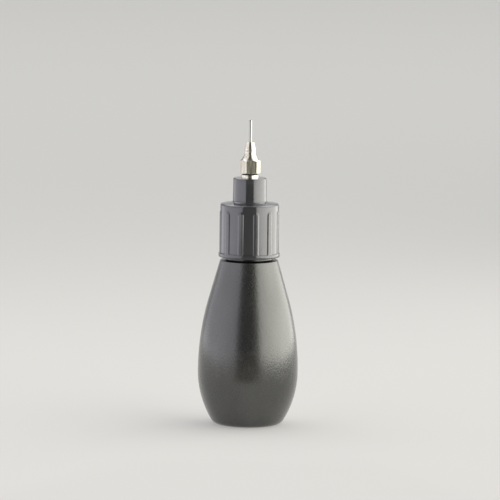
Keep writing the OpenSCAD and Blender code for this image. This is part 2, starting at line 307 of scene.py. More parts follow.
def wind(tree, grid, place, turn, material):
    """Ends a tree with the grid's points at their places, turned about Z."""
    turned = add(tree, "ShaderNodeVectorRotate", {"Vector": place, "Angle": turn}, rotation_type="Z_AXIS")[0]
    swept = add(tree, "GeometryNodeSetPosition", {"Geometry": grid, "Position": turned})[0]
    return close_tree(tree, swept, material)


def lathe_tree():
    """Turns an outline, a line of points at radius x and height z, about Z."""
    tree, given = new_tree("Turned outline", Segments="Int", Start="Float")
    grid, point, share = swept_grid(tree, given["Geometry"], given["Segments"])
    turn = add(tree, MATH, {0: share, 1: math.tau, 2: given["Start"]}, operation="MULTIPLY_ADD")[0]
    return wind(tree, grid, point, turn, given["Material"])


def seam_tree():
    """Presses a fine line into a turned wall where it meets the XZ plane, clear of the axis."""
    tree, given = new_tree("Mould line", Depth="Float", Clear="Float")
    place = add(tree, "GeometryNodeInputPosition")[0]
    x, y, _ = add(tree, "ShaderNodeSeparateXYZ", {0: place})
    off_plane = add(tree, MATH, {0: y}, operation="ABSOLUTE")[0]
    on_plane = add(tree, MATH, {0: off_plane, 1: MERGE_DISTANCE}, operation="LESS_THAN")[0]
    off_axis = add(tree, MATH, {0: x}, operation="ABSOLUTE")[0]
    clear = add(tree, MATH, {0: off_axis, 1: given["Clear"]}, operation="GREATER_THAN")[0]
    chosen = add(tree, MATH, {0: on_plane, 1: clear}, operation="MULTIPLY")[0]
    side = add(tree, MATH, {0: x}, operation="SIGN")[0]
    depth = add(tree, MATH, {0: side, 1: given["Depth"]}, operation="MULTIPLY")[0]
    shift = add(tree, "ShaderNodeCombineXYZ", {"X": depth})[0]
    sunk = add(tree, VECTOR, {0: place, 1: shift}, operation="SUBTRACT")[0]
    press = {"Geometry": given["Geometry"], "Selection": chosen, "Position": sunk}
    pressed = add(tree, "GeometryNodeSetPosition", press)[0]
    return close_tree(tree, pressed, given["Material"])


def rib_tree():
    """Raises grip ribs on a turned skirt: upright pads with a flat crest, soft flanks and a round end."""
    names = ("Turn", "Half_Width", "Crest_Half_Width", "Crest", "Top", "Skin")
    tree, given = new_tree("Grip ribs", Count="Int", **{name: "Float" for name in names})
    place = add(tree, "GeometryNodeInputPosition")[0]
    x, y, z = add(tree, "ShaderNodeSeparateXYZ", {0: place})
    flat = add(tree, "ShaderNodeCombineXYZ", {"X": x, "Y": y})[0]
    radius = add(tree, VECTOR, {0: flat}, operation="LENGTH")["Value"]
    outward = add(tree, VECTOR, {0: flat}, operation="NORMALIZE")[0]
    # Sideways distance from the nearest rib's middle
    bearing = add(tree, MATH, {0: y, 1: x}, operation="ARCTAN2")[0]
    past = add(tree, MATH, {0: bearing, 1: given["Turn"]}, operation="SUBTRACT")[0]
    half_step = add(tree, MATH, {0: math.pi, 1: given["Count"]}, operation="DIVIDE")[0]
    minus_step = add(tree, MATH, {0: half_step, 1: -1.0}, operation="MULTIPLY")[0]
    from_rib = add(tree, MATH, {0: past, 1: half_step, 2: minus_step}, operation="WRAP")[0]
    sine = add(tree, MATH, {0: from_rib}, operation="SINE")[0]
    aside = add(tree, MATH, {0: radius, 1: sine}, operation="MULTIPLY")[0]
    # Height over the foot of the rib's round end
    foot = add(tree, MATH, {0: given["Top"], 1: given["Half Width"]}, operation="SUBTRACT")[0]
    over = add(tree, MATH, {0: z, 1: foot}, operation="SUBTRACT")[0]
    above = add(tree, MATH, {0: over, 1: 0.0}, operation="MAXIMUM")[0]
    # Share of the rib's height there, and how far the skirt has to rise
    across = add(tree, "ShaderNodeCombineXYZ", {"X": aside, "Y": above})[0]
    distance = add(tree, VECTOR, {0: across}, operation="LENGTH")["Value"]
    flank = {"Value": distance, "From Min": given["Half Width"], "From Max": given["Crest Half Width"]}
    share = add(tree, "ShaderNodeMapRange", flank, interpolation_type="SMOOTHSTEP")["Result"]
    proud = add(tree, MATH, {0: given["Crest"], 1: radius}, operation="SUBTRACT")[0]
    room = add(tree, MATH, {0: proud, 1: 0.0}, operation="MAXIMUM")[0]
    lift = add(tree, MATH, {0: share, 1: room}, operation="MULTIPLY")[0]
    offset = add(tree, VECTOR, {0: outward, "Scale": lift}, operation="SCALE")[0]
    outside = add(tree, MATH, {0: radius, 1: given["Skin"]}, operation="GREATER_THAN")[0]
    rise = {"Geometry": given["Geometry"], "Selection": outside, "Offset": offset}
    raised = add(tree, "GeometryNodeSetPosition", rise)[0]
    return close_tree(tree, raised, given["Material"])


def thread_tree():
    """Sweeps a ridge's outline along a right-handed helix and lets it run out at both ends."""
    names = ("Radius", "Height", "Pitch", "Turns", "Run_Out")
    tree, given = new_tree("Screw thread", Steps="Int", **{name: "Float" for name in names})
    grid, point, share = swept_grid(tree, given["Geometry"], given["Steps"])
    gone = add(tree, MATH, {0: share, 1: given["Turns"]}, operation="MULTIPLY")[0]
    to_go = add(tree, MATH, {0: given["Turns"], 1: gone}, operation="SUBTRACT")[0]
    to_end = add(tree, MATH, {0: gone, 1: to_go}, operation="MINIMUM")[0]
    run_out = {"Value": to_end, "From Max": given["Run Out"]}
    full = add(tree, "ShaderNodeMapRange", run_out, interpolation_type="SMOOTHSTEP")["Result"]
    ridge = add(tree, VECTOR, {0: point, "Scale": full}, operation="SCALE")[0]
    climb = {0: gone, 1: given["Pitch"], 2: given["Height"]}
    rise = add(tree, MATH, climb, operation="MULTIPLY_ADD")[0]
    root = add(tree, "ShaderNodeCombineXYZ", {"X": given["Radius"], "Z": rise})[0]
    place = add(tree, VECTOR, {0: root, 1: ridge}, operation="ADD")[0]
    turn = add(tree, MATH, {0: gone, 1: math.tau}, operation="MULTIPLY")[0]
    return wind(tree, grid, place, turn, given["Material"])


def tree_once(maker, name):
    """The geometry tree of that name, made on first use."""
    return bpy.data.node_groups.get(name) or maker()


def new_piece(name, outline):
    """An object at the origin whose mesh is an outline of (radius, height) points."""
    mesh = bpy.data.meshes.new(name)
    points = [(r, 0.0, z) for r, z in outline]
    mesh.from_pydata(points, [(i, i + 1) for i in range(len(points) - 1)], [])
    piece = bpy.data.objects.new(name, mesh)
    bpy.context.scene.collection.objects.link(piece)
    return piece


def apply_trees(piece, *steps):
    """Runs geometry trees with their values on a piece and leaves a plain closed mesh."""
    for tree, values in steps:
        modifier = piece.modifiers.new(tree.name, "NODES")
        modifier.node_group = tree
        for item in tree.interface.items_tree:
            if item.in_out == "INPUT" and item.name in values:
                modifier[item.identifier] = values[item.name]
    graph = bpy.context.evaluated_depsgraph_get()
    shaped = piece.evaluated_get(graph)
    mesh = bpy.data.meshes.new_from_object(shaped, preserve_all_data_layers=True, depsgraph=graph)
    old = piece.data
    piece.modifiers.clear()
    piece.data = mesh
    bpy.data.meshes.remove(old)
    mesh.name = piece.name
    tidy_mesh(mesh)


def tidy_mesh(mesh, sharp=SHARP_ANGLE):
    """Merges doubles, turns the faces outward and keeps edges sharp that bend by more than an angle."""
    work = bmesh.new()
    work.from_mesh(mesh)
    bmesh.ops.remove_doubles(work, verts=work.verts, dist=MERGE_DISTANCE)
    bmesh.ops.recalc_face_normals(work, faces=work.faces)
    for face in work.faces:
        face.smooth = True
    work.to_mesh(mesh)
    work.free()
    mesh.set_sharp_from_angle(angle=sharp)


def turned_piece(name, outline, segments, material, start=0.0, *steps):
    """A piece turned from an outline, then changed by further geometry trees."""
    piece = new_piece(name, outline)
    values = {"Segments": segments, "Start": start, "Material": material}
    apply_trees(piece, (tree_once(lathe_tree, "Turned outline"), values), *steps)
    return piece


def thread_piece(name, thread, screw, radius, height, top, material):
    """One thread of a screw, the cap's or the tip's, on a wall of that radius, ending under the top. A
    negative height makes the inside thread, which runs half a pitch lower, between the turns of the other."""
    pitch, turns, drop = (getattr(thread, f"{screw}_{key}") for key in ("pitch", "turns", "drop"))
    foot, crest, root, run_out, steps = RIDGES[screw]
    rise = pitch * (turns if height > 0 else turns + 0.5)
    values = {
        "Steps": steps, "Radius": radius, "Height": top - drop - rise, "Pitch": pitch, "Turns": turns,
        "Run Out": run_out, "Material": material,
    }
    piece = new_piece(name, ridge_outline(foot, crest, height, root))
    apply_trees(piece, (tree_once(thread_tree, "Screw thread"), values))
    return piece


def ridge_outline(foot, crest, height, root):
    """A closed ridge with a rounded crest: widths at foot and crest, height, and how far it reaches into the
    wall. A negative height makes the ridge of an inside thread."""
    side = 1 if height > 0 else -1
    corner = 0.25 * abs(height)
    points = [
        (-side * root, -foot / 2),
        (0.0, -foot / 2),
        (height - side * corner, -crest / 2 - corner / 2),
        (height, -crest / 2 + corner / 2),
        (height, crest / 2 - corner / 2),
        (height - side * corner, crest / 2 + corner / 2),
        (0.0, foot / 2),
        (-side * root, foot / 2),
    ]
    return points + points[:1]


def hand_over(piece, body, slot, *nodes):
    """Fixes a finished piece to its body and hides the nodes it stands for. The slot is not used."""
    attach(piece, body)
    if nodes:
        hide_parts(*nodes)


def surface(name, tint, tone, mottle, rough, grain, depth, **plain):
    """A material whose colour wanders by tone over patches of mottle size, with a grain of that size and
    depth that goes from the low to the high roughness. Sizes are in millimetres, along x, y and z. Plain
    values go on the shader's own sockets."""
    material = bpy.data.materials.new(name)
    material.use_nodes = True
    tree = material.node_tree
    sockets = tree.nodes["Principled BSDF"].inputs
    place = add(tree, "ShaderNodeTexCoord")["Object"]
    tones = (1 - tone, 1 + tone)
    noises, shares = [], []
    for size, detail, (low, high) in ((mottle, MOTTLE_DETAIL, tones), (grain, GRAIN_DETAIL, rough)):
        scale = tuple(1 / (side * MM) for side in size)
        stretched = add(tree, "ShaderNodeMapping", {"Vector": place, "Scale": scale})[0]
        pattern = {"Vector": stretched, "Scale": 1.0, "Detail": detail}
        noise = add(tree, "ShaderNodeTexNoise", pattern)["Fac"]
        limits = {"From Min": NOISE_LOW, "From Max": NOISE_HIGH, "To Min": low, "To Max": high}
        noises.append(noise)
        shares.append(add(tree, "ShaderNodeMapRange", {"Value": noise, **limits})["Result"])
    shade = add(tree, "ShaderNodeHueSaturation", {"Value": shares[0], "Color": (*tint, 1.0)})["Color"]
    relief = {"Height": noises[1], "Strength": 1.0, "Distance": depth * MM}
    bump = add(tree, "ShaderNodeBump", relief)[0]
    for key, value in {"Base Color": shade, "Roughness": shares[1], "Normal": bump}.items():
        tree.links.new(value, sockets[key])
    for key, value in plain.items():
        sockets[key.replace("_", " ")].default_value = value
    return material


def zone(tree, along, start, end, patch=None):
    """A share that goes from 0 at start to 1 at end, along X, Y, Z or the Radius. A patch size breaks it up
    into patches."""
    place = add(tree, "ShaderNodeTexCoord")["Object"]
    parts = add(tree, "ShaderNodeSeparateXYZ", {0: place})
    if along == "Radius":
        flat = add(tree, "ShaderNodeCombineXYZ", {"X": parts["X"], "Y": parts["Y"]})[0]
        value = add(tree, VECTOR, {0: flat}, operation="LENGTH")["Value"]
    else:
        value = parts[along]
    limits = {"Value": value, "From Min": start, "From Max": end}
    share = add(tree, "ShaderNodeMapRange", limits, interpolation_type="SMOOTHSTEP")["Result"]
    if patch is None:
        return share
    pattern = {"Vector": place, "Scale": 1 / patch, "Detail": PATCH_DETAIL}
    noise = add(tree, "ShaderNodeTexNoise", pattern)["Fac"]
    limits = {"Value": noise, "From Min": PATCH_LOW, "From Max": PATCH_HIGH}
    ragged = add(tree, "ShaderNodeMapRange", limits, interpolation_type="SMOOTHSTEP")["Result"]
    return add(tree, MATH, {0: share, 1: ragged}, operation="MULTIPLY")[0]


def lay_over(material, share, tone, rough=0.0):
    """Where the share is 1, multiplies a material's colour by tone and adds to its roughness."""
    tree = material.node_tree
    sockets = tree.nodes["Principled BSDF"].inputs
    base, roughness = sockets["Base Color"], sockets["Roughness"]
    tones = {"Factor": share, 6: base.links[0].from_socket, 7: (tone, tone, tone, 1.0)}
    toned = add(tree, "ShaderNodeMix", tones, data_type="RGBA", blend_type="MULTIPLY", clamp_result=False)[2]
    tree.links.new(toned, base)
    if rough:
        sums = {0: share, 1: rough, 2: roughness.links[0].from_socket}
        tree.links.new(add(tree, MATH, sums, operation="MULTIPLY_ADD")[0], roughness)


def bottle_plastic(s):
    # Blown polyethylene with a little aluminium flake, from a blasted mould: silver-grey satin, faintly
    # streaked along the parison, with a fine grain that breaks up the lamp's mirror image. The grain is drawn
    # at twice its size, so that it shows.
    material = surface(
        "satin smoke LDPE blow moulded", s.tint, tone=0.08, mottle=(7, 7, 26), rough=(0.2, 0.28),
        grain=(0.55, 0.55, 0.55), depth=0.034,
        Metallic=0.88, Coat_Weight=0.5, Coat_Roughness=0.22, Anisotropic=0.6,
    )
    tree = material.node_tree
    # The parison's lines run up the wall and smear the shine round it
    around = add(tree, "ShaderNodeTangent", direction_type="RADIAL", axis="Z")[0]
    tree.links.new(around, tree.nodes["Principled BSDF"].inputs["Tangent"])
    # Painted light: the lower flank and heel are drawn lighter towards the foot, as if more brightly lit
    lay_over(material, zone(tree, "Z", 0.8 * s.belly_z, 0.2 * s.belly_z), tone=1.22)
    # Painted shade: the foot of the neck, in the gap under the cap's mouth, is drawn darker, as if in the
    # cap's shadow
    above = zone(tree, "Z", s.shoulder_z, s.shoulder_z + 0.2 * MM)
    below = zone(tree, "Z", s.shoulder_z + 3 * MM, s.shoulder_z + 1.3 * MM)
    lay_over(material, add(tree, MATH, {0: above, 1: below}, operation="MULTIPLY")[0], tone=0.35)
    # Hands dull the belly in small patches
    belly = zone(tree, "Radius", s.body_r - 1.3 * MM, s.body_r, patch=4 * MM)
    lay_over(material, belly, tone=1.03, rough=0.05)
    return material


def cap_plastic(s):
    # The same grey in polypropylene from a polished mould: glossy, with the slow ripple of shrinkage in the
    # shine.
    material = surface(
        "polished smoke PP injection moulded", s.tint, tone=0.06, mottle=(5, 5, 9), rough=(0.10, 0.15),
        grain=(1.6, 1.6, 2.4), depth=0.004, Metallic=0.57, Coat_Weight=0.5, Coat_Roughness=0.07,
    )
    # Fingers rub the ribs' crests and the flange dull
    crests = zone(material.node_tree, "Radius", s.rib_crest_r - 0.05 * MM, s.rib_crest_r, patch=0.9 * MM)
    lay_over(material, crests, tone=1.08, rough=0.07)
    return material


def turned_plating(tint):
    # Bright nickel over turned brass: the tool's rings run round the piece and smear the shine upward.
    return surface(
        "nickel plated brass turned", tint, tone=0.2, mottle=(0.5, 0.5, 0.4), rough=(0.16, 0.28),
        grain=(40, 40, 0.14), depth=0.004, Metallic=1.0,
    )


def drawn_plating(tint):
    # The same nickel on the drawn bar's flats: lines run along the bar.
    return surface(
        "nickel plated brass drawn", tint, tone=0.34, mottle=(0.4, 0.4, 7), rough=(0.18, 0.3),
        grain=(0.22, 0.22, 9), depth=0.004, Metallic=1.0,
    )


def tube_steel(tint):
    # Drawn stainless tube: bright, with lengthwise die lines.
    return surface(
        "stainless steel tube drawn", tint, tone=0.05, mottle=(1, 1, 3), rough=(0.06, 0.12),
        grain=(0.1, 0.1, 7), depth=0.002, Metallic=1.0,
    )


def liner_foam(tint):
    # Closed-cell foam: matt and pale, with small pits.
    return surface(
        "polyethylene foam die cut", tint, tone=0.05, mottle=(2, 2, 2), rough=(0.75, 0.9),
        grain=(0.35, 0.35, 0.35), depth=0.05,
    )


def gasket_rubber(tint):
    # Black nitrile sheet: matt, with a dusty grain.
    return surface(
        "nitrile rubber die cut", tint, tone=0.12, mottle=(1, 1, 1), rough=(0.55, 0.7),
        grain=(0.2, 0.2, 0.2), depth=0.01,
    )


def bottle_outline(s):
    """The bottle's wall, from the axis under the foot round to the axis inside it. Its arcs meet on common
    tangents."""
    flank_rise = s.shoulder_z - s.belly_z
    flank_drop = s.body_r - s.shoulder_r
    flank_r = s.flank_share * (flank_rise**2 + flank_drop**2) / (2 * flank_drop)
    flank = (s.body_r - flank_r, s.belly_z)
    to_shoulder = Vector((s.shoulder_r - flank[0], flank_rise))
    turn = math.atan2(to_shoulder.y, to_shoulder.x) - math.acos(flank_r / to_shoulder.length)

    def straight(depth, z):
        """A point of the straight flank at a height, at a depth under its surface."""
        return flank[0] + (flank_r - depth - (z - s.belly_z) * math.sin(turn)) / math.cos(turn), z

    lower = (s.body_r - s.lower_flank_r, s.belly_z)
    heel_turn = math.degrees(math.asin((s.belly_z - s.heel_r) / (s.lower_flank_r - s.heel_r)))
    foot_r = lower[0] + (s.lower_flank_r - s.heel_r) * math.cos(math.radians(heel_turn))
    heel = (foot_r, s.heel_r)
    rim = straight(s.rim_r, s.shoulder_z - s.rim_r)
    rim_turn = math.degrees(turn)
    rim_foot = (rim[0] + s.rim_r * math.cos(turn), rim[1] + s.rim_r * math.sin(turn))
    flank_top = (flank[0] + flank_r * math.cos(turn), flank[1] + flank_r * math.sin(turn))
    hollow_r = foot_r - s.foot_ring
    dome_r = (hollow_r**2 + s.foot_hollow**2) / (2 * s.foot_hollow)
    dome = (0.0, s.foot_hollow - dome_r)
    dome_turn = math.degrees(math.acos(hollow_r / dome_r))
    neck_foot = s.shoulder_z + 1 * MM
    fillet = 0.4 * MM
    lip = 0.35 * MM
    return [
        *arc(dome, dome_r, 90, dome_turn, 8),
        *arc(heel, s.heel_r, -90, -heel_turn, 18),
        *arc(lower, s.lower_flank_r, -heel_turn, 0, 24)[1:],
        *arc(flank, flank_r, 0, rim_turn, 36)[1:],
        *line(flank_top, rim_foot, 16)[1:],
        *arc(rim, s.rim_r, rim_turn, 90, 10),
        *arc((s.neck_r + fillet, s.shoulder_z + fillet), fillet, 270, 180, 6),
        *line((s.neck_r, neck_foot), (s.neck_r, s.lip_z - lip), 6),
        *arc((s.neck_r - lip, s.lip_z - lip), lip, 0, 90, 6),
        (s.neck_bore_r + lip, s.lip_z),
        *arc((s.neck_bore_r + lip, s.lip_z - lip), lip, 90, 180, 6)[1:],
        (s.neck_bore_r, s.shoulder_z - s.shoulder_wall),
        straight(s.wall, s.shoulder_z - s.shoulder_wall),
        *arc(flank, flank_r - s.wall, rim_turn, 0, 24),
        *arc(lower, s.lower_flank_r - s.wall, 0, -heel_turn, 16)[1:],
        *arc(heel, s.heel_r - s.wall, -heel_turn, -90, 12)[1:],
        *arc(dome, dome_r + s.wall, dome_turn, 90, 8),
    ]


def cap_outline(s, tip):
    """The cap's wall, round from its mouth over the boss and back through the bore."""
    edge = s.flange_edge_r
    flange_top = s.mouth_z + s.flange_h
    chamfer = 0.35 * MM
    root = 0.2 * MM
    # The small ridge in the bore that keeps the liner in
    keeper_z, keeper_h, keeper_proud = BOX["bottle"][1].z - 0.2 * MM, 0.7 * MM, 0.4 * MM
    boss_top = tip_heights(tip)["boss_top"]
    boss_roof = boss_top - BOSS_ROOF
    foot_r = s.boss_r + s.boss_draft

    def over_crown(r, height):
        """A point at a radius, at a height over the sloping top."""
        return r, s.top_z - (r - foot_r) * math.tan(s.crown) + height / math.cos(s.crown)

    slope = math.degrees(s.crown)
    rounding = over_crown(s.skirt_top_r - s.edge_r, -s.edge_r)
    fillet = over_crown(foot_r + s.boss_fillet_r, s.boss_fillet_r)
    points = [
        (s.bore_r + chamfer, s.mouth_z),
        *arc((s.flange_r - edge, s.mouth_z + edge), edge, -90, 0, 6),
        *arc((s.flange_r - edge, flange_top - edge), edge, 0, 90, 6),
        *arc((s.skirt_r + root, flange_top + root), root, 270, 180, 4),
        *line((s.skirt_r, flange_top + 2 * root), (s.skirt_top_r, rounding[1]), 64),
        *arc(rounding, s.edge_r, 0, 90 - slope, 12),
        *arc(fillet, s.boss_fillet_r, 270 - slope, 180, 8),
        *line((foot_r, s.top_z + 2 * s.boss_fillet_r), (s.boss_r, boss_top - 2 * s.boss_edge_r), 4),
        *arc((s.boss_r - s.boss_edge_r, boss_top - s.boss_edge_r), s.boss_edge_r, 0, 90, 8),
        (tip.collar_r + FIT_GAP, boss_top),
        (tip.collar_r + FIT_GAP, boss_roof),
        (tip.socket_r + FIT_GAP, boss_roof),
        (tip.socket_r + FIT_GAP, s.roof_z),
        (s.bore_r, s.roof_z),
        (s.bore_r, keeper_z),
        (s.bore_r - keeper_proud, keeper_z - keeper_h / 2),
        (s.bore_r, keeper_z - keeper_h),
        (s.bore_r, s.mouth_z + chamfer),
    ]
    return points + points[:1]


def tip_heights(tip):
    """Heights along the tip, from the socket's foot to the needle's end."""
    hex_z = BOX["tip_gasket"][1].z
    flare_z = hex_z + tip.hex_h
    return {
        "socket_foot": BOX["tip_socket"][0].z,
        "boss_top": BOX["cap"][1].z,
        "collar_top": BOX["tip_socket"][1].z,
        "stud": BOX["tip_hub"][0].z,
        "hex": hex_z,
        "flare": flare_z,
        "nose": flare_z + tip.flare_h,
        "hub_top": BOX["tip_hub"][1].z,
        "seat": BOX["needle"][0].z,
        "needle_end": BOX["needle"][1].z,
    }


def ring_outline(node, inner, edge):
    """The section of a flat ring that fills a node's box round a hole, with a small edge all round."""
    low, high = BOX[node]
    outer = high.x
    points = [
        (inner, low.z + edge),
        (inner + edge, low.z),
        (outer - edge, low.z),
        (outer, low.z + edge),
        (outer, high.z - edge),
        (outer - edge, high.z),
        (inner + edge, high.z),
        (inner, high.z - edge),
    ]
    return points + points[:1]


def hub_mesh(name, tip):
    """The turned hexagon: each column of faces follows the bar's flat up to where the turned flare cuts it,
    so the flats end in true arches. Returns the mesh, with the flats on its second material."""
    z = tip_heights(tip)
    apothem = tip.hex_flats / 2
    # The bar's corners are turned down a little
    corner_share = 0.993
    turned_r = corner_share * apothem / math.cos(math.pi / 6)
    chamfer_r, chamfer_h = apothem - 0.1 * MM, 0.3 * MM
    corner_turn = math.pi / 6 - math.acos(apothem / turned_r)
    # The hollow arc of the flare, from the corners to the nose
    foot, top = Vector((turned_r, z["flare"])), Vector((tip.nose_r, z["nose"]))
    half = (top - foot) / 2
    reach = math.sqrt(tip.flare_r**2 - half.length_squared)
    centre = foot + half + reach * Vector((half.y, -half.x)).normalized()
    last = math.atan2(top.y - centre.y, top.x - centre.x) % math.tau
    # Heights of the bead and of the taper above it, as shares of the nose
    nose_h = z["hub_top"] - z["nose"]
    bead_foot, bead, bead_top, taper = (z["nose"] + share * nose_h for share in (0.15, 0.29, 0.41, 0.43))
    bead_edge, top_edge, stud_edge = 0.28 * MM, 0.2 * MM, 0.3 * MM
    bore = tip.needle_r + 0.01 * MM
    nose = [
        (tip.nose_r, bead_foot),
        *arc((tip.bead_r - bead_edge, bead), bead_edge, -60, 60, 8),
        (tip.nose_r, bead_top),
        *line((tip.nose_r, taper), (tip.nose_top_r, z["hub_top"] - top_edge), 6),
        *arc((tip.nose_top_r - top_edge, z["hub_top"] - top_edge), top_edge, 0, 90, 6),
        (bore, z["hub_top"]),
        (bore, z["seat"]),
        (tip.feed_r, z["seat"]),
        (tip.feed_r, z["stud"]),
    ]
    flare_steps, face_steps = 14, 16
    columns = []
    for side in range(6):
        for step in range(face_steps + 1):
            within = corner_turn + (math.pi / 3 - 2 * corner_turn) * step / face_steps
            r = apothem / math.cos(within - math.pi / 6)
            low = z["hex"] + chamfer_h * (r - chamfer_r) / (turned_r - chamfer_r)
            first = math.pi + math.acos(min(1.0, (centre.x - r) / tip.flare_r))
            first = math.tau - first if centre.y < z["flare"] else first
            outline = [
                (tip.stud_r - stud_edge, z["stud"]),
                (tip.stud_r, z["stud"] + stud_edge),
                (tip.stud_r, z["hex"]),
                (chamfer_r, z["hex"]),
                (r, low),
                *arc(centre, tip.flare_r, math.degrees(first), math.degrees(last), flare_steps),
                *nose,
            ]
            columns.append((tip.hex_turn + side * math.pi / 3 + within, outline))
    # The row of faces from the chamfer to the flare is the bar's flat
    flat_row = 4
    work = bmesh.new()
    grid = []
    for turn, outline in columns:
        grid.append([work.verts.new((r * math.cos(turn), r * math.sin(turn), h)) for r, h in outline])
    for c, column in enumerate(grid):
        following = grid[(c + 1) % len(grid)]
        at_corner = c % (face_steps + 1) == face_steps
        for row in range(len(column)):
            after = (row + 1) % len(column)
            face = work.faces.new((column[row], following[row], following[after], column[after]))
            face.material_index = 1 if row == flat_row and not at_corner else 0
    mesh = bpy.data.meshes.new(name)
    work.to_mesh(mesh)
    work.free()
    tidy_mesh(mesh, HEX_SHARP_ANGLE)
    return mesh


class GLUEBOTTLE_OT_bottle(bpy.types.Operator):
    """Build the blown bottle and the thread on its neck"""

    bl_idname = "gluebottle.bottle"
    bl_label = "Bottle"

    def execute(self, context):
        bottle, thread = context.scene.gluebottle_bottle, context.scene.gluebottle_thread
        plastic = bottle_plastic(bottle)
        # The mould line is deeper than a real one, so that it shows
        seam = {"Depth": bottle.seam, "Clear": bottle.neck_bore_r / 2, "Material": plastic}
        press = (tree_once(seam_tree, "Mould line"), seam)
        outline = bottle_outline(bottle)
        body = turned_piece("bottle_body", outline, SEGMENTS["bottle"], plastic, 0.0, press)
        hand_over(body, "bottle", "bottle_plastic", "bottle")
        height = thread.neck_ridge
        neck = thread_piece("neck_thread", thread, "cap", bottle.neck_r, height, bottle.lip_z, plastic)
        hand_over(neck, "bottle", "bottle_plastic")
        return {"FINISHED"}


class GLUEBOTTLE_OT_cap(bpy.types.Operator):
    """Build the ribbed screw cap and the thread inside it"""

    bl_idname = "gluebottle.cap"
    bl_label = "Cap"

    def execute(self, context):
        scene = context.scene
        cap, tip, thread = scene.gluebottle_cap, scene.gluebottle_tip, scene.gluebottle_thread
        plastic = cap_plastic(cap)
        ribs = {
            "Count": cap.rib_count,
            "Turn": cap.rib_turn,
            "Half Width": cap.rib_w / 2,
            "Crest Half Width": cap.rib_crest_w / 2,
            "Crest": cap.rib_crest_r,
            "Top": cap.rib_top_z,
            "Skin": (cap.bore_r + cap.skirt_top_r) / 2,
            "Material": plastic,
        }
        press = (tree_once(rib_tree, "Grip ribs"), ribs)
        segments = SEGMENTS["rib"] * cap.rib_count
        shell = turned_piece("cap_shell", cap_outline(cap, tip), segments, plastic, cap.rib_turn, press)
        hand_over(shell, "cap", "cap_plastic", "cap")
        lip_z = BOX["bottle"][1].z
        inside = thread_piece("cap_thread", thread, "cap", cap.bore_r, -thread.cap_ridge, lip_z, plastic)
        hand_over(inside, "cap", "cap_plastic")
        return {"FINISHED"}


class GLUEBOTTLE_OT_seals(bpy.types.Operator):
    """Build the cap's liner and the tip's gasket"""

    bl_idname = "gluebottle.seals"
    bl_label = "Liner and gasket"

    def execute(self, context):
        cap, tip = context.scene.gluebottle_cap, context.scene.gluebottle_tip
        section = ring_outline("cap_liner", cap.liner_bore_r, edge=0.12 * MM)
        liner = turned_piece("cap_liner_ring", section, SEGMENTS["liner"], liner_foam(cap.liner_tint))
        hand_over(liner, "liner", "liner_foam", "cap_liner")
        section = ring_outline("tip_gasket", tip.gasket_bore_r, edge=0.06 * MM)
        gasket = turned_piece("tip_gasket_ring", section, SEGMENTS["gasket"], gasket_rubber(tip.rubber))
        hand_over(gasket, "gasket", "gasket_rubber", "tip_gasket")
        return {"FINISHED"}


class GLUEBOTTLE_OT_socket(bpy.types.Operator):
    """Build the plated socket and its inside thread"""

    bl_idname = "gluebottle.socket"
    bl_label = "Socket"

    def execute(self, context):
        tip, thread = context.scene.gluebottle_tip, context.scene.gluebottle_thread
        z = tip_heights(tip)
        edge = 0.15 * MM
        roof = z["boss_top"] - BOSS_ROOF - FIT_GAP
        flange_r, flange_top = BOX["tip_socket"][1].x, z["socket_foot"] + tip.socket_flange_h
        points = [
            (tip.socket_bore_r, z["socket_foot"]),
            (flange_r - edge, z["socket_foot"]),
            (flange_r, z["socket_foot"] + edge),
            (flange_r, flange_top),
            (tip.socket_r, flange_top),
            (tip.socket_r, roof),
            (tip.collar_r, roof),
            *arc((tip.collar_r - edge, z["collar_top"] - edge), edge, 0, 90, 5),
            (tip.socket_bore_r + edge, z["collar_top"]),
            (tip.socket_bore_r, z["collar_top"] - edge),
        ]
        plating = turned_plating(tip.plating)
        bush = turned_piece("tip_socket_bush", points + points[:1], SEGMENTS["socket"], plating)
        hand_over(bush, "cap", "plated_brass", "tip_socket")
        radius, height = tip.socket_bore_r, -thread.socket_ridge
        inside = thread_piece("socket_thread", thread, "tip", radius, height, z["collar_top"], plating)
        hand_over(inside, "cap", "plated_brass")
        return {"FINISHED"}


class GLUEBOTTLE_OT_tip(bpy.types.Operator):
    """Build the turned metal tip and the thread on its stud"""

    bl_idname = "gluebottle.tip"
    bl_label = "Metal tip"

    def execute(self, context):
        tip, thread = context.scene.gluebottle_tip, context.scene.gluebottle_thread
        turned, drawn = turned_plating(tip.plating), drawn_plating(tip.bar)
        mesh = hub_mesh("tip_hub_turning", tip)
        mesh.materials.append(turned)
        mesh.materials.append(drawn)
        hub = bpy.data.objects.new("tip_hub_turning", mesh)
        context.scene.collection.objects.link(hub)
        hand_over(hub, "tip", "plated_brass", "tip_hub")
        height, top = thread.stud_ridge, tip_heights(tip)["collar_top"]
        stud = thread_piece("stud_thread", thread, "tip", tip.stud_r, height, top, turned)
        hand_over(stud, "tip", "plated_brass")
        return {"FINISHED"}


class GLUEBOTTLE_OT_needle(bpy.types.Operator):
    """Build the steel needle"""

    bl_idname = "gluebottle.needle"
    bl_label = "Needle"

    def execute(self, context):
        tip = context.scene.gluebottle_tip
        z = tip_heights(tip)
        edge = 0.08 * MM
        points = [
            (tip.needle_bore_r, z["seat"]),
            (tip.needle_r, z["seat"]),
            *line((tip.needle_r, z["hub_top"]), (tip.needle_r, z["needle_end"] - 2 * edge), 6),
            *arc((tip.needle_r - edge, z["needle_end"] - edge), edge, 0, 90, 5),
            (tip.needle_bore_r + edge / 2, z["needle_end"]),
            (tip.needle_bore_r, z["needle_end"] - edge / 2),
        ]
        tube = turned_piece("needle_tube", points + points[:1], SEGMENTS["needle"], tube_steel(tip.steel))
        hand_over(tube, "tip", "needle_steel", "needle")
        return {"FINISHED"}


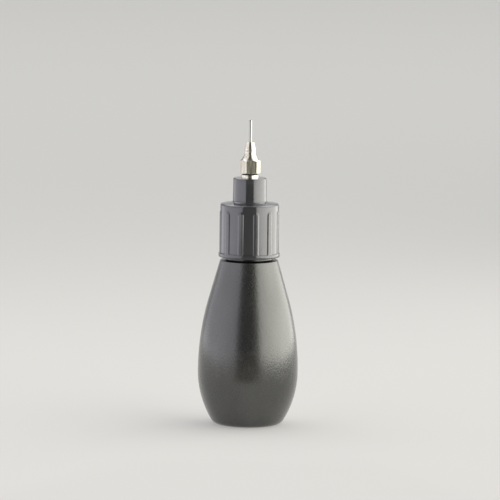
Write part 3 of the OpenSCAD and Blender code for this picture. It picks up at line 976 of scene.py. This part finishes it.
class GLUEBOTTLE_OT_stage(bpy.types.Operator):
    """Build the floor, lamps, room light and camera"""

    bl_idname = "gluebottle.stage"
    bl_label = "Stage"

    def execute(self, context):
        s = context.scene.gluebottle_stage
        self.floor(context, s)
        self.card(context, s)
        self.lamps(context, s)
        self.room(context, s)
        self.camera(context, s)
        context.scene.view_settings.view_transform = "Standard"
        return {"FINISHED"}

    def sheet(self, context, name, corners, tint):
        """A sheet of matt paper on the stage."""
        mesh = bpy.data.meshes.new(name)
        mesh.from_pydata(corners, [], [(0, 1, 2, 3)])
        material = bpy.data.materials.new(name + " matt paper")
        material.use_nodes = True
        sockets = material.node_tree.nodes["Principled BSDF"].inputs
        sockets["Base Color"].default_value = (*tint, 1.0)
        sockets["Roughness"].default_value = 0.9
        sockets["Specular IOR Level"].default_value = 0.1
        mesh.materials.append(material)
        piece = bpy.data.objects.new(name, mesh)
        context.scene.collection.objects.link(piece)
        return piece

    def floor(self, context, s):
        """A large pale sheet. Where the eye or the shine meets it, it has a share of its own even paleness,
        so that no hard edge shows where a lamp's light ends."""
        reach = 6.0
        corners = [(-reach, -reach, 0), (reach, -reach, 0), (reach, reach, 0), (-reach, reach, 0)]
        tree = self.sheet(context, "floor", corners, s.floor).active_material.node_tree
        path = add(tree, "ShaderNodeLightPath")
        seen = path["Is Camera Ray"]
        for ray in ("Is Glossy Ray", "Is Transmission Ray"):
            seen = add(tree, MATH, {0: seen, 1: path[ray]}, operation="MAXIMUM")[0]
        share = add(tree, MATH, {0: seen, 1: s.evenness}, operation="MULTIPLY")[0]
        glow = add(tree, "ShaderNodeEmission", {"Color": (*s.paleness, 1.0)})[0]
        lit = tree.nodes["Principled BSDF"].outputs[0]
        shown = add(tree, "ShaderNodeMixShader", {0: share, 1: lit, 2: glow})[0]
        tree.links.new(shown, tree.nodes["Material Output"].inputs["Surface"])

    def card(self, context, s):
        """A dark card on the floor in front, wider towards the camera, that only shows in the shine: a
        painted dark reflection in the bottle, cap and tip, hidden from the camera, from diffuse light and
        from shadows.
        """
        near, far, lift = 0.08, 1.5, 0.5 * MM
        corners = [(side * y / 2, -y, lift) for side, y in ((-1, far), (1, far), (1, near), (-1, near))]
        card = self.sheet(context, "reflection_shade_card", corners, s.card)
        card.visible_camera = card.visible_diffuse = card.visible_shadow = False

    def panel(self, context, name, place, back, size, brightness, spread=math.pi, tint="#FFFFFF"):
        """A soft panel of light that turns its back to a direction."""
        lamp = bpy.data.lights.new(name, "AREA")
        lamp.shape = "RECTANGLE"
        lamp.size, lamp.size_y = size
        lamp.energy = brightness * math.pi * size[0] * size[1]
        lamp.color = linear(tint)
        lamp.spread = spread
        panel = bpy.data.objects.new(name, lamp)
        away = Vector(back)
        along = Vector((1, 0, 0)) if away.y else Vector((0, 1, 0))
        turn = Matrix((along, away.cross(along), away)).transposed()
        panel.matrix_world = Matrix.Translation(place) @ turn.to_4x4()
        panel.visible_camera = False
        context.scene.collection.objects.link(panel)

    def lamps(self, context, s):
        """Two tall panels beside the bottle that leave a dark gap towards the camera, with soft light from
        above and behind. A twin of each tall panel faces away and lights the floor behind it."""
        aside, middle, tall = 0.3, 0.455, 0.9
        # A twin stands this much nearer, where the two lights together make an even floor
        left_overlap, right_overlap = 8 * MM, 12 * MM
        sides = {
            "left": (-1, -0.15, 0.9, left_overlap, s.left, s.left_spread, "#F8F6FF"),
            "right": (1, -0.1, 1.0, right_overlap, s.right, s.right_spread, "#FFFEF5"),
        }
        for name, (side, y, width, overlap, *light) in sides.items():
            size = (width, tall)
            twin = side * (aside - overlap)
            self.panel(context, name + "_panel", (side * aside, y, middle), (side, 0, 0), size, *light)
            self.panel(context, name + "_floor_panel", (twin, y, middle), (-side, 0, 0), size, *light)
        self.panel(context, "top_panel", (0, 0.85, 1.1), (0, 0, 1), (1.6, 1.6), s.top)
        self.panel(context, "rear_panel", (0, 1.4, 1.6), (0, 0, 1), (2.0, 2.6), s.rear)
        self.panel(context, "back_panel", (0, 2.6, 0.6), (0, 1, 0), (4.0, 1.2), s.back)

    def room(self, context, s):
        """The soft light that reaches the whole floor, and the room's own grey."""
        sky_light = bpy.data.lights.new("sky_light", "SUN")
        sky_light.energy = s.sky
        sky_light.angle = s.sky_size
        overhead = bpy.data.objects.new("sky_light", sky_light)
        overhead.rotation_euler.x = -s.sky_lean
        context.scene.collection.objects.link(overhead)
        world = bpy.data.worlds.new("grey room")
        world.use_nodes = True
        background = world.node_tree.nodes["Background"].inputs
        background["Color"].default_value = (1, 1, 1, 1)
        background["Strength"].default_value = s.room
        context.scene.world = world

    def camera(self, context, s):
        """A long lens from the photograph's side and height."""
        data = bpy.data.cameras.new("camera")
        data.lens = data.sensor_width * s.distance / s.view_width
        data.clip_start, data.clip_end = 0.01, 50
        camera = bpy.data.objects.new("camera", data)
        target = Vector((s.target_x, 0, s.target_z))
        back = Vector((0, -math.cos(s.elevation), math.sin(s.elevation)))
        look = (-back).to_track_quat("-Z", "Y").to_matrix() @ Matrix.Rotation(s.roll, 3, "Z")
        camera.matrix_world = Matrix.Translation(target + s.distance * back) @ look.to_4x4()
        context.scene.collection.objects.link(camera)
        context.scene.camera = camera


class GLUEBOTTLE_PT_panel(bpy.types.Panel):
    """Lists the builders of the bottle's pieces with their sizes"""

    bl_label = "Glue Bottle"
    bl_idname = "GLUEBOTTLE_PT_panel"
    bl_space_type = "VIEW_3D"
    bl_region_type = "UI"
    bl_category = "Glue Bottle"

    def draw(self, context):
        for operator in OPERATORS:
            self.layout.operator(operator.bl_idname)
        for name, group in GROUPS.items():
            box = self.layout.box()
            box.label(text=name.title())
            for key in group.__annotations__:
                box.prop(getattr(context.scene, "gluebottle_" + name), key)


GROUPS = {
    "bottle": BottleSettings,
    "cap": CapSettings,
    "tip": TipSettings,
    "thread": ThreadSettings,
    "stage": StageSettings,
}
OPERATORS = (
    GLUEBOTTLE_OT_bottle,
    GLUEBOTTLE_OT_cap,
    GLUEBOTTLE_OT_seals,
    GLUEBOTTLE_OT_socket,
    GLUEBOTTLE_OT_tip,
    GLUEBOTTLE_OT_needle,
    GLUEBOTTLE_OT_stage,
)


def register():
    for kind in (*GROUPS.values(), *OPERATORS, GLUEBOTTLE_PT_panel):
        bpy.utils.register_class(kind)
    for name, group in GROUPS.items():
        setattr(bpy.types.Scene, "gluebottle_" + name, bpy.props.PointerProperty(type=group))


def unregister():
    for name in GROUPS:
        delattr(bpy.types.Scene, "gluebottle_" + name)
    for kind in reversed((*GROUPS.values(), *OPERATORS, GLUEBOTTLE_PT_panel)):
        bpy.utils.unregister_class(kind)


def main():
    register()
    bpy.ops.gluebottle.bottle()
    bpy.ops.gluebottle.cap()
    bpy.ops.gluebottle.seals()
    bpy.ops.gluebottle.socket()
    bpy.ops.gluebottle.tip()
    bpy.ops.gluebottle.needle()
    bpy.ops.gluebottle.stage()


if __name__ == "__main__":
    main()
